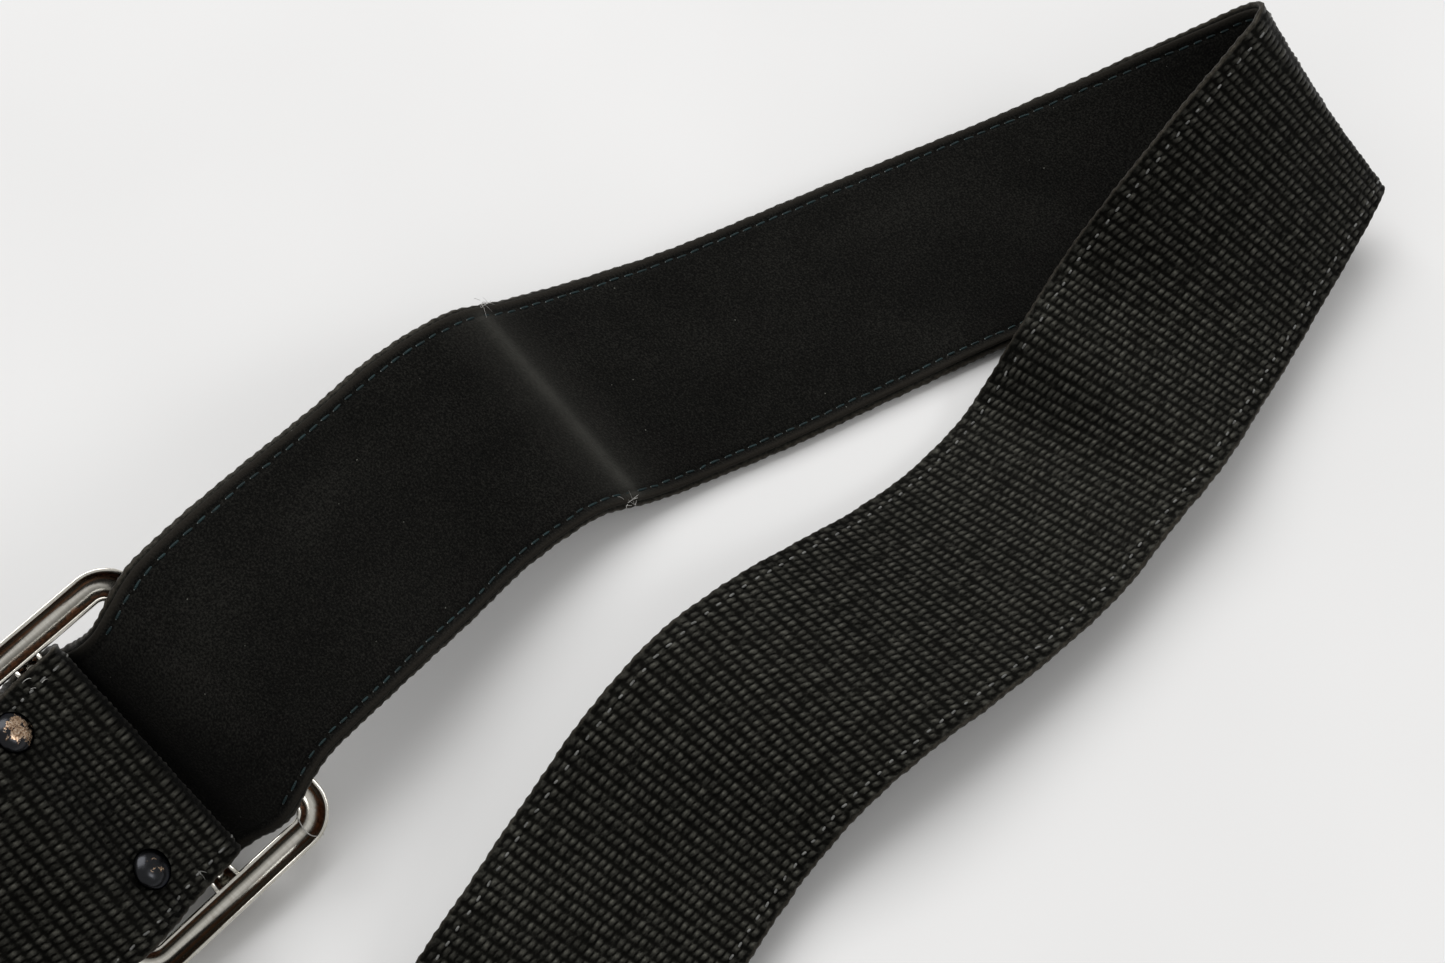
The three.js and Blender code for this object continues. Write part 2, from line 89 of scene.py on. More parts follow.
# ---------------------------------------------------------------- camera
CAMERA_PLACE = np.array([0, -223.3, 407.2]) * MM + OFFSET
CAMERA_PITCH = 28.74
CAMERA_LENS, SENSOR_WIDTH = 56.1, 36
camera_data = bpy.data.cameras.new("camera")
camera_data.lens, camera_data.sensor_width = CAMERA_LENS, SENSOR_WIDTH
camera = bpy.data.objects.new("camera", camera_data)
camera.location = CAMERA_PLACE
camera.rotation_euler = (math.radians(CAMERA_PITCH), 0, 0)
bpy.context.scene.collection.objects.link(camera)
bpy.context.scene.camera = camera


def unit(v):
    return v / np.linalg.norm(v, axis=-1, keepdims=True)


def dipping(compass, dip):
    """A unit vector along a compass angle, dipping below the horizon."""
    c, d = math.radians(compass), math.radians(dip)
    return np.array([math.cos(d) * math.cos(c), math.cos(d) * math.sin(c), -math.sin(d)])


buckle_x = dipping(BUCKLE_HEADING, -BUCKLE_RISE)
buckle_z = unit(np.cross(dipping(BUCKLE_HEADING - 90, BUCKLE_DIP), buckle_x))
buckle_y = np.cross(buckle_z, buckle_x)
BUCKLE_AXES = np.array([buckle_x, buckle_y, buckle_z])


def at_buckle(points):
    """Points of the slide's frame, in metres, as points of the row frame."""
    return np.asarray(points) @ BUCKLE_AXES + BUCKLE_CENTRE + OFFSET


def turned_about_bar(tilt):
    """A matrix that turns points of the slide's frame about its centre bar, as points @ matrix."""
    return np.array([[math.cos(tilt), 0, -math.sin(tilt)], [0, 1, 0], [math.sin(tilt), 0, math.cos(tilt)]])


def slide_station(place, skew):
    """A place of the slide's frame, in millimetres, and the strap's width there, turned by skew degrees."""
    s = math.radians(skew)
    across = np.array([math.sin(s), -math.cos(s), 0]) @ BUCKLE_AXES
    return at_buckle(np.array(place) * MM), across


def strap_stations():
    """Middles and directions of the width, from the folded-back end to the tail's tip."""
    made = []
    for i, place in enumerate(FOLD_ROUTE):
        turning = TURN_START <= i <= TURN_END
        share = min(1, -place[0] * MM / SKEW_REACH)
        made.append(slide_station(place, 0 if turning else -MAIN_SKEW * share))
    for x, y, z, compass, dip in LOOP_ROUTE:
        made.append((np.array([x, y, z]) * MM + OFFSET, dipping(compass, dip)))
    for place in TAIL_ROUTE:
        share = min(1, abs(place[0]) * MM / SKEW_REACH)
        made.append(slide_station(place, TAIL_SKEW * share if place[0] > 0 else -MAIN_SKEW * share))
    for x, y, z, compass, dip in TAIL_END_ROUTE:
        made.append((np.array([x, y, z]) * MM + OFFSET, dipping(compass, dip)))
    return made


class Spline:
    """A centripetal Catmull-Rom curve through points, by station number."""

    def __init__(self, points):
        p = np.asarray(points)
        p = np.vstack([2 * p[0] - p[1], p, 2 * p[-1] - p[-2]])
        gap = np.sqrt(np.linalg.norm(np.diff(p, axis=0), axis=1))[:, None]
        d0, d1, d2 = gap[:-2], gap[1:-1], gap[2:]
        x0, x1, x2, x3 = p[:-3], p[1:-2], p[2:-1], p[3:]
        t1 = ((x1 - x0) / d0 - (x2 - x0) / (d0 + d1) + (x2 - x1) / d1) * d1
        t2 = ((x2 - x1) / d1 - (x3 - x1) / (d1 + d2) + (x3 - x2) / d2) * d1
        self.c = (x1, t1, -3 * x1 + 3 * x2 - 2 * t1 - t2, 2 * x1 - 2 * x2 + t1 + t2)

    def __call__(self, place):
        i = np.clip(np.floor(place).astype(int), 0, len(self.c[0]) - 1)
        w = (place - i)[:, None]
        c0, c1, c2, c3 = (c[i] for c in self.c)
        return c0 + w * (c1 + w * (c2 + w * c3)), c1 + w * (2 * c2 + 3 * w * c3)


# frames are worked out at this many places from one station to the next
STATION_STEPS = 60


class Strap:
    """Frames along the strap, by distance from the folded-back end."""

    def __init__(self):
        stations = strap_stations()
        self.left = Spline([m - a * STRAP_WIDTH / 2 for m, a in stations])
        self.right = Spline([m + a * STRAP_WIDTH / 2 for m, a in stations])
        self.place = np.linspace(0, len(stations) - 1, STATION_STEPS * (len(stations) - 1) + 1)
        middle = (self.left(self.place)[0] + self.right(self.place)[0]) / 2
        self.far = np.concatenate([[0], np.cumsum(np.linalg.norm(np.diff(middle, axis=0), axis=1))])
        self.length = self.far[-1]

    def distance(self, station):
        return float(np.interp(station, self.place, self.far))

    def frames(self, s):
        place = np.interp(s, self.far, self.place)
        a, da = self.left(place)
        b, db = self.right(place)
        along = unit(da + db)
        across = unit(b - a)
        return (a + b) / 2, across, unit(np.cross(across, along)), along

    def points(self, s, x, h):
        """Points at distances s, places x across and heights h over the joint of the two layers."""
        middle, across, out, _ = self.frames(s)
        return middle + across * x[:, None] + out * h[:, None]


strap = Strap()


# ---------------------------------------------------------------- meshes
def new_object(name, vertices, faces):
    """A smooth mesh object from vertices and an array of quads or a list of faces."""
    mesh = bpy.data.meshes.new(name)
    if isinstance(faces, np.ndarray):
        n, k = faces.shape
        mesh.vertices.add(len(vertices))
        mesh.vertices.foreach_set("co", np.asarray(vertices, np.float32).ravel())
        mesh.loops.add(n * k)
        mesh.loops.foreach_set("vertex_index", faces.astype(np.int32).ravel())
        mesh.polygons.add(n)
        mesh.polygons.foreach_set("loop_start", np.arange(0, n * k, k, dtype=np.int32))
        mesh.update(calc_edges=True)
    else:
        mesh.from_pydata([tuple(v) for v in vertices], [], faces)
    mesh.polygons.foreach_set("use_smooth", [True] * len(mesh.polygons))
    mesh.validate()
    made = bpy.data.objects.new(name, mesh)
    bpy.context.scene.collection.objects.link(made)
    return made


def put(piece, name, values):
    """Stores a value or a vector for each point."""
    values = np.asarray(values, np.float32)
    kind, key = ("FLOAT", "value") if values.ndim == 1 else ("FLOAT_VECTOR", "vector")
    piece.data.attributes.new(name, kind, "POINT").data.foreach_set(key, values.ravel())


def tube_faces(rows, columns, start=0):
    """Quads of a grid whose columns close into a ring, from the vertex start; its ends stay open."""
    r, c = np.meshgrid(np.arange(rows - 1), np.arange(columns), indexing="ij")
    n = (c + 1) % columns
    quads = np.stack([r * columns + c, r * columns + n, (r + 1) * columns + n, (r + 1) * columns + c], -1)
    return quads.reshape(-1, 4) + start


def close_ends(piece, rows, columns, start=0):
    """Caps both ends of such a grid with one face each."""
    bm = bmesh.new()
    bm.from_mesh(piece.data)
    bm.verts.ensure_lookup_table()
    last = start + (rows - 1) * columns
    bm.faces.new([bm.verts[start + i] for i in range(columns - 1, -1, -1)])
    bm.faces.new([bm.verts[last + i] for i in range(columns)])
    bmesh.ops.recalc_face_normals(bm, faces=bm.faces)
    bm.to_mesh(piece.data)
    bm.free()


def noise(points, seed, octaves=3):
    """Smooth noise from sums of sines, between about -1 and 1; points are in periods."""
    rng = np.random.default_rng(seed)
    total = np.zeros(len(points))
    for octave in range(octaves):
        for _ in range(5):
            wave = rng.normal(size=points.shape[1]) * 2 ** octave
            total += np.sin(points @ wave * 2 * math.pi + rng.uniform(0, 6.28)) / 2 ** octave
    return total / 5


def grain_value(row, grain, seed):
    """A fixed arbitrary value from 0 to 1 for each grain of the weave."""
    v = np.sin(row * 12.9898 + grain * 78.233 + seed * 37.719) * 43758.5453
    return v - np.floor(v)


# ---------------------------------------------------------------- webbing
# Its weave has rows across the strap, each of grains that lie along it.
ROW_PITCH = 2.38 * MM
GRAIN_PITCH = 1.345 * MM
GRAIN_HEIGHT = 0.5 * MM
GRAINS = 36
GRAIN_STEPS, ROW_STEPS = 4, 4
FACE_COLUMNS = GRAINS * GRAIN_STEPS + 1
WEAVE_BASE = 1.45 * MM
SELVEDGE_RADIUS = 0.93 * MM
SELVEDGE_ANGLES = np.radians([62, 36, 12, -12, -36, -62])
BACK_HEIGHT = 0.03 * MM


def weave(s, x):
    """Height of the weave, 0 in its grooves and about 1 on its grains."""
    r = s / ROW_PITCH
    row = np.floor(r)
    a = r - row - 0.5
    g0 = x / GRAIN_PITCH + 0.5 * (row % 2)
    lean = 0.05 + 0.5 * grain_value(row, np.floor(g0), 3)
    g = g0 - lean * a
    grain = np.floor(g)
    b = g - grain - 0.5
    uneven = grain_value(row, grain, 1)
    size = 0.7 + 0.45 * uneven + np.choose((grain % 4).astype(int), [0.08, 0, -0.1, 0])
    shift = 0.12 * (grain_value(row, grain, 2) - 0.5)
    main = size * np.cos(np.clip(a + shift, -0.5, 0.5) * math.pi) ** 1.05
    main = main * np.cos(math.pi * b) ** (0.35 + 0.4 * uneven)
    # short picks of the cross thread show in the grooves between the rows
    r2 = r + 0.5
    row2 = np.floor(r2)
    a2 = np.clip((r2 - row2 - 0.5) / 0.34, -0.5, 0.5)
    b2 = x / GRAIN_PITCH + 0.5 * (row2 % 2)
    b2 = b2 - np.floor(b2) - 0.5
    pick = 0.42 * grain_value(row2, np.floor(x / GRAIN_PITCH), 4)
    pick = pick * np.cos(math.pi * a2) * np.cos(math.pi * b2)
    return np.maximum(main, pick)


def weave_base(x):
    """The webbing thins a little towards its edges."""
    return WEAVE_BASE - 0.25 * MM * np.clip((np.abs(x) - 22.5 * MM) / (2 * MM), 0, 1) ** 2


def along_noise(s, period, seed):
    """Noise that changes only along the strap."""
    return noise(np.stack([s / period, s * 0], 1), seed)[:, None]


def build_webbing():
    """A closed ribbon: the woven face, a rounded selvedge, the plain back and the other selvedge.
    S, X and H are each vertex's distance along the strap, place across it and height."""
    rows = int(strap.length / ROW_PITCH * ROW_STEPS) + 1
    s = np.linspace(0, strap.length, rows)
    x_face = (np.arange(FACE_COLUMNS) - (FACE_COLUMNS - 1) / 2) * GRAIN_PITCH / GRAIN_STEPS
    x_back = np.linspace(x_face[-1], -x_face[-1], 13)
    turns = len(SELVEDGE_ANGLES)
    columns = FACE_COLUMNS + 2 * turns + len(x_back)
    S = np.repeat(s[:, None], columns, 1)
    X = np.zeros_like(S)
    H = np.zeros_like(S)
    face = slice(0, FACE_COLUMNS)
    X[:, face] = x_face
    high = weave(S[:, face].ravel(), X[:, face].ravel()).reshape(rows, -1)
    H[:, face] = weave_base(x_face) + GRAIN_HEIGHT * high + along_noise(s, 50 * MM, 5) * 0.05 * MM
    rib = np.cos(2 * math.pi * s / ROW_PITCH)[:, None]
    for side, start in ((1, FACE_COLUMNS), (-1, FACE_COLUMNS + turns + len(x_back))):
        uneven = 0.13 * along_noise(s, 6 * MM, 8 + side) + 0.10 * along_noise(s, 22 * MM, 18 + side)
        radius = SELVEDGE_RADIUS + (0.10 * rib + uneven) * MM
        angles = SELVEDGE_ANGLES[::side]
        span = slice(start, start + turns)
        X[:, span] = side * (HALF - SELVEDGE_RADIUS + radius * np.cos(angles))
        H[:, span] = SELVEDGE_RADIUS + 0.04 * MM + SELVEDGE_RADIUS * np.sin(angles)
    back = slice(FACE_COLUMNS + turns, FACE_COLUMNS + turns + len(x_back))
    X[:, back] = x_back
    H[:, back] = BACK_HEIGHT
    # level, the weave's height, also paints shade into the grooves in the webbing's material
    level = np.full_like(S, 0.5)
    level[:, face] = high
    points = strap.points(S.ravel(), X.ravel(), H.ravel())
    piece = new_object("webbing", points, tube_faces(rows, columns))
    put(piece, "place", np.stack([X.ravel(), S.ravel(), H.ravel()], 1) / MM)
    put(piece, "level", level.ravel())
    close_ends(piece, rows, columns)
    return piece


# ---------------------------------------------------------------- lining
# Its edge seams lie this far from the strap's middle, and a crease crosses it a little askew.
SEAM = HALF - 3.1 * MM
STITCH_PITCH = 3.1 * MM
LINING_INSET = 0.9 * MM
LINING_THICKNESS = 0.92 * MM
CREASE_STATION = LOOP_START + 40.52
CREASE_LEAN = -0.096
LINING_STEP = 0.75 * MM


def crease_gap(s, x):
    """Signed distance along the strap from the crease line."""
    return s - strap.distance(CREASE_STATION) - CREASE_LEAN * x


def build_lining():
    """A closed ribbon: the napped face with its two sunk seams, the cut edges and the plain back.
    S, X and H are the same as in build_webbing."""
    rows = int(strap.length / LINING_STEP) + 1
    s = np.linspace(0, strap.length, rows)
    half = HALF - LINING_INSET
    inner = np.linspace(-1, 1, 31) * (SEAM - 1.3 * MM)
    seam = np.array([-1.0, -0.55, -0.2, 0.2, 0.55, 1.0]) * MM
    rim = np.array([1.5, 1.85]) * MM
    x_face = np.concatenate([-(SEAM + rim[::-1]), -SEAM + seam, inner, SEAM + seam, SEAM + rim])
    x_edge = np.array([half - 0.1 * MM, half, half - 0.08 * MM])
    x_back = np.linspace(half - 0.5 * MM, -half + 0.5 * MM, 9)
    x_all = np.concatenate([x_face, x_edge, x_back, -x_edge[::-1]])
    columns = len(x_all)
    S = np.repeat(s[:, None], columns, 1)
    X = np.repeat(x_all[None], rows, 0)
    d = np.abs(np.abs(X) - SEAM)
    hole = 0.5 + 0.5 * np.cos(2 * math.pi * S / STITCH_PITCH)
    flat = np.stack([X.ravel(), S.ravel()], 1) / (16 * MM)
    H = -(LINING_THICKNESS - (0.30 + 0.14 * hole) * MM * np.exp(-(d / (0.62 * MM)) ** 2)
          + 0.05 * MM * noise(flat, 3).reshape(S.shape))
    gap = crease_gap(S, X)
    H -= 0.35 * MM * np.exp(-(gap / (1.3 * MM)) ** 2)
    n = len(x_face)
    for k, low in enumerate((-0.72, -0.42, -0.1)):
        H[:, n + k] = low * MM
        H[:, columns - 1 - k] = low * MM
    H[:, n + 3:columns - 3] = -BACK_HEIGHT
    points = strap.points(S.ravel(), X.ravel(), H.ravel())
    piece = new_object("suede_lining", points, tube_faces(rows, columns))
    ragged = noise(np.stack([X.ravel() / (12 * MM), S.ravel() / (20 * MM)], 1), 12).reshape(S.shape)
    core = 0.62 * np.exp(-(gap / (1.9 * MM)) ** 2) * (1 + 0.25 * ragged)
    wear = core + 0.3 * np.exp(-(gap / (7.5 * MM)) ** 2)
    put(piece, "place", np.stack([X.ravel(), S.ravel(), H.ravel()], 1) / MM)
    put(piece, "wear", np.clip(wear, 0, 1).ravel())
    close_ends(piece, rows, columns)
    return piece


# ---------------------------------------------------------------- stitches
TUBE_SIDES = 8
STITCH_RINGS = 7


def tubes(name, centres, across, out, radii):
    """Many short tubes in one piece: arrays of shape (tubes, rings, 3), and radii of (tubes, rings)."""
    count, rings = radii.shape
    angle = 2 * math.pi * np.arange(TUBE_SIDES) / TUBE_SIDES
    ring = across[:, :, None] * np.cos(angle)[:, None] + out[:, :, None] * np.sin(angle)[:, None]
    points = centres[:, :, None] + ring * radii[:, :, None, None]
    block = tube_faces(rings, TUBE_SIDES)
    size = rings * TUBE_SIDES
    sides = (block[None] + (np.arange(count) * size)[:, None, None]).reshape(-1, 4)
    return new_object(name, points.reshape(-1, 3), sides)


def stitch_radii(radius, t, count):
    """Radii of the rings of each stitch, which tapers at both tips."""
    return np.repeat((radius * np.clip(1 - np.abs(t) ** 5, 0.02, 1) ** 0.5)[None], count, 0)


def put_tips(piece, t, count):
    """Stores how near each point of a stitch is to the nearer tip, from 0 to 1."""
    tip = np.repeat(np.repeat(np.abs(t)[None], count, 0)[:, :, None], TUBE_SIDES, 2)
    put(piece, "tip", tip.ravel())


def build_stitches(name, s_from, s_to, x, over, length, radius, arch, seed):
    """A row of lock stitches; over is the height of the face they lie on, and its sign is their side."""
    rng = np.random.default_rng(seed)
    centre = np.arange(s_from + STITCH_PITCH / 2, s_to, STITCH_PITCH)
    centre = centre + rng.normal(0, 0.08 * MM, len(centre))
    t = np.linspace(-1, 1, STITCH_RINGS)
    size = length * (1 + rng.normal(0, 0.08, len(centre)))
    s = centre[:, None] + t * size[:, None] / 2
    drift = rng.normal(0, 0.09 * MM, len(centre))[:, None]
    drift = drift + rng.normal(0, 0.06 * MM, len(centre))[:, None] * t
    side = math.copysign(1, over)
    h = over + side * (arch * (1 - t ** 2) - 0.9 * radius)
    h = np.repeat(h[None], len(centre), 0)
    middle, across, out, _ = strap.frames(s.ravel())
    shape = (len(centre), STITCH_RINGS, 3)
    middle, across, out = middle.reshape(shape), across.reshape(shape), out.reshape(shape)
    middle = middle + across * (x + drift)[:, :, None] + out * h[:, :, None]
    piece = tubes(name, middle, across, out, stitch_radii(radius, t, len(centre)))
    put_tips(piece, t, len(centre))
    turn = np.arange(TUBE_SIDES) / TUBE_SIDES
    twist = np.stack(np.broadcast_arrays(turn[None, None], s[:, :, None] / MM, 0.0), -1)
    put(piece, "place", twist.reshape(-1, 3))
    return piece


END_ROW_INSET, END_ROW_PITCH = 4.5 * MM, 2.9 * MM


def build_end_row(name, s, over, length, radius, arch, seed):
    """A row of stitches across the strap near one of its ends."""
    rng = np.random.default_rng(seed)
    reach = HALF - END_ROW_INSET
    centre = np.arange(-reach + 1 * MM, reach, END_ROW_PITCH)
    t = np.linspace(-1, 1, STITCH_RINGS)
    x = centre[:, None] + t * length / 2
    h = np.repeat((over + arch * (1 - t ** 2) - 0.9 * radius)[None], len(centre), 0)
    middle, across, out, along = strap.frames(np.full(x.size, s) + rng.normal(0, 0.02 * MM, x.size))
    shape = (len(centre), STITCH_RINGS, 3)
    middle, across, out, along = (a.reshape(shape) for a in (middle, across, out, along))
    middle = middle + across * x[:, :, None] + out * h[:, :, None]
    piece = tubes(name, middle, along, out, stitch_radii(radius, t, len(centre)))
    put_tips(piece, t, len(centre))
    put(piece, "place", np.repeat(middle.reshape(-1, 3) / MM, TUBE_SIDES, 0))
    return piece


# ---------------------------------------------------------------- the slide
FRAME_LENGTH, FRAME_WIDTH, FRAME_CORNER = 48 * MM, 66 * MM, 8 * MM
RAIL, BAR, DEPTH, SHEET = 6 * MM, 5.2 * MM, 3.2 * MM, 0.8 * MM
PROFILE_POINTS = 15
CORNER_STEPS, SIDE_STEPS, BAR_STEPS = 12, 16, 24


def lip(x):
    """The two points of a sheet edge's rounded rim, outer one first."""
    height = DEPTH / 2 + 0.22 * SHEET
    return np.array([[x + 0.3 * SHEET, height], [x - 0.3 * SHEET, height]])


def channel_profile(width):
    """A half-round sheet channel, open upwards: its points, how deep inside the hollow each lies, and
    where across the hollow, from -1 at the slots' side to 1 at the outer side."""
    angle = np.linspace(0, math.pi, PROFILE_POINTS)
    outer = np.stack([-width / 2 * np.cos(angle), DEPTH / 2 - DEPTH * np.sin(angle)], 1)
    inner = np.stack([(width / 2 - SHEET) * np.cos(angle), DEPTH / 2 - (DEPTH - SHEET) * np.sin(angle)], 1)
    right, left = lip(width / 2 - SHEET / 2), lip(-width / 2 + SHEET / 2)
    profile = np.vstack([outer, right, inner, left])
    inside = np.concatenate([np.zeros(len(outer)), [0.2, 0.2], np.sin(angle), [0.2, 0.2]])
    wall = np.concatenate([np.zeros(len(outer)), [0, 0], np.cos(angle), [0, 0]])
    return profile, inside, wall


def ring_path():
    """Points and outward directions round the frame's rail, with the corners marked."""
    hx, hy = (FRAME_LENGTH - RAIL) / 2, (FRAME_WIDTH - RAIL) / 2
    radius = FRAME_CORNER - RAIL / 2
    places, outs, corner = [], [], []
    for c, (sx, sy) in enumerate([(1, 1), (-1, 1), (-1, -1), (1, -1)]):
        for i in range(CORNER_STEPS + 1):
            angle = math.pi / 2 * (c + i / CORNER_STEPS)
            d = np.array([math.cos(angle), math.sin(angle)])
            places.append(np.array([sx * (hx - radius), sy * (hy - radius)]) + radius * d)
            outs.append(d)
            corner.append(math.sin(math.pi * i / CORNER_STEPS))
        a, d = places[-1], outs[-1]
        nx, ny = [(-1, 1), (-1, -1), (1, -1), (1, 1)][c]
        angle = math.pi / 2 * (c + 1)
        b = np.array([nx * (hx - radius), ny * (hy - radius)])
        b = b + radius * np.array([math.cos(angle), math.sin(angle)])
        for k in range(1, SIDE_STEPS):
            places.append(a + (b - a) * k / SIDE_STEPS)
            outs.append(d)
            corner.append(0.0)
    return np.array(places), np.array(outs), np.array(corner)


def build_slide():
    """The ring of rails and, across it, the centre bar, whose ends stay inside the rails."""
    profile, inside, wall = channel_profile(RAIL)
    places, outs, corner = ring_path()
    n, k = len(places), len(profile)
    dent = noise(places / (30 * MM), 21, 2) * 0.05 * MM
    points = np.zeros((n, k, 3))
    points[:, :, :2] = places[:, None] + outs[:, None] * profile[None, :, :1]
    points[:, :, 2] = profile[None, :, 1] + dent[:, None]
    r, c = np.meshgrid(np.arange(n), np.arange(k), indexing="ij")
    rn, cn = (r + 1) % n, (c + 1) % k
    ring = np.stack([r * k + c, rn * k + c, rn * k + cn, r * k + cn], -1).reshape(-1, 4)
    bar_profile, bar_inside, bar_wall = channel_profile(BAR)
    reach = FRAME_WIDTH / 2 - RAIL + 0.7 * MM
    y = np.linspace(-reach, reach, BAR_STEPS + 1)
    flare = 1 + 0.12 * np.clip((np.abs(y) - reach + 2.2 * MM) / (2.2 * MM), 0, 1) ** 2
    bar = np.zeros((len(y), k, 3))
    bar[:, :, 0] = bar_profile[None, :, 0] * flare[:, None]
    bar[:, :, 1] = y[:, None]
    bar[:, :, 2] = bar_profile[None, :, 1]
    bar_faces = tube_faces(len(y), k, n * k)
    everything = np.vstack([points.reshape(-1, 3), bar.reshape(-1, 3)])
    placed = at_buckle(everything @ turned_about_bar(-math.radians(FRAME_TILT)))
    piece = new_object("slide", placed, np.vstack([ring, bar_faces]))
    close_ends(piece, len(y), k, n * k)
    put(piece, "inside", np.concatenate([np.tile(inside, n), np.tile(bar_inside, len(y))]))
    put(piece, "wall", np.concatenate([np.tile(wall, n), np.tile(-np.abs(bar_wall), len(y))]))
    put(piece, "corner", np.concatenate([np.repeat(corner, k), np.full(len(y) * k, 0.4)]))
    put(piece, "place", everything / MM)
    return piece


# ---------------------------------------------------------------- rivets
# in millimetres, as in the CAD: where each rivet stands along and across the strap's fold
RIVETS = {"upper": (-12.8, -20.5), "lower": (-11.3, 13.8)}
RIVET_SLOPE, RIVET_HEIGHT, RIVET_ALONG = 0.62, 7.7, -12
HEAD_BASE = 3.25
# the upper head is rubbed through to copper, and the lower one is whole
RIVET_WEAR = {"upper": 0.0, "lower": -0.29}
HEAD_RADIUS, DOME_BASE, DOME_HEIGHT = 3.8, HEAD_BASE + 0.4, 2.15
DOME_STEPS, RIVET_SIDES = 12, 48


def build_rivet(edge):
    """Clinched end, shank and domed head, turned about the rivet's axis, in millimetres until placed."""
    along, across = RIVETS[edge]
    profile = [(0, -4.5), (1.7, -4.5), (1.9, -4.35), (1.9, -4.15), (1.1, -4.1), (1.1, HEAD_BASE),
               (3.5, HEAD_BASE), (3.78, HEAD_BASE + 0.14), (3.84, HEAD_BASE + 0.38)]
    for i in range(1, DOME_STEPS + 1):
        a = math.pi / 2 * i / DOME_STEPS
        profile.append((HEAD_RADIUS * math.cos(a) ** 0.92, DOME_BASE + DOME_HEIGHT * math.sin(a)))
    profile = np.array(profile)
    profile[-1, 0] = profile[0, 0] = 0.01
    angle = 2 * math.pi * np.arange(RIVET_SIDES) / RIVET_SIDES
    points = np.stack([profile[:, None, 0] * np.cos(angle), profile[:, None, 0] * np.sin(angle),
                       np.repeat(profile[:, 1:], RIVET_SIDES, 1)], -1).reshape(-1, 3)
    wobble = noise(points[:, :2] / 4.0 + 3, 31 if edge == "upper" else 32, 2)
    points[:, 2] += 0.05 * wobble * (points[:, 2] > HEAD_BASE + 0.5)
    height = RIVET_HEIGHT - RIVET_SLOPE * (along - RIVET_ALONG)
    turn = turned_about_bar(math.atan(RIVET_SLOPE))
    placed = at_buckle((points @ turn + np.array([along, -across, height])) * MM)
    piece = new_object("rivet_head_" + edge, placed, tube_faces(len(profile), RIVET_SIDES))
    close_ends(piece, len(profile), RIVET_SIDES)
    put(piece, "place", points)
    put(piece, "wear", np.full(len(points), RIVET_WEAR[edge]))
    return piece


# ---------------------------------------------------------------- loose fibres
FIBRE_RINGS, FIBRE_RADIUS = 9, 0.07 * MM


def build_fibres(name, s, x, over, seed, spread, size, count):
    """Loose thread ends, as thin curved tubes that stand up from the strap."""
    rng = np.random.default_rng(seed)
    t = np.linspace(0, 1, FIBRE_RINGS)
    s0 = s + rng.normal(0, spread, count)
    middle, across, out, along = strap.frames(s0)
    base = middle + across * (x + rng.normal(0, spread, count))[:, None] + out * over
    length = size * rng.uniform(0.5, 1.2, count)
    lean = rng.uniform(-1, 1, (count, 2))
    bend = rng.uniform(-1, 1, (count, 2))
    side = math.copysign(1, over)
    way = across * lean[:, :1] + along * lean[:, 1:] + out * side * rng.uniform(0.1, 0.5, (count, 1))
    curl = across * bend[:, :1] + along * bend[:, 1:]
    centres = (base[:, None] + unit(way)[:, None] * (length[:, None] * t)[:, :, None]
               + curl[:, None] * (length[:, None] * t ** 2 * 0.5)[:, :, None])
    frame_a = np.repeat(across[:, None], FIBRE_RINGS, 1)
    frame_b = np.repeat(out[:, None], FIBRE_RINGS, 1)
    radii = np.repeat((FIBRE_RADIUS * (1 - 0.6 * t))[None], count, 0)
    return tubes(name, centres, frame_a, frame_b, radii)


# the lint's arc, in millimetres and degrees of the slide's frame
LINT_CENTRE, LINT_REACH, LINT_HEIGHT = (20, -29), 4, 3.6
LINT_FROM, LINT_TO = 88, 246
LINT_RINGS, LINT_RADIUS = 40, 0.11 * MM


def build_lint():
    """A pale fibre caught across the hollow of the slide's near corner."""
    t = np.linspace(0, 1, LINT_RINGS)
    angle = np.radians(LINT_FROM + (LINT_TO - LINT_FROM) * t)
    reach = LINT_REACH + 0.25 * np.sin(9 * t)
    points = np.stack([LINT_CENTRE[0] + reach * np.cos(angle), LINT_CENTRE[1] + reach * np.sin(angle),
                       LINT_HEIGHT + 0.3 * np.sin(5 * t)], 1)
    centres = at_buckle(points * MM)[None]
    out = np.repeat(BUCKLE_AXES[2][None], LINT_RINGS, 0)
    across = unit(np.cross(unit(np.gradient(centres[0], axis=0)), out))
    return tubes("lint_on_slide", centres, across[None], out[None], np.full((1, LINT_RINGS), LINT_RADIUS))


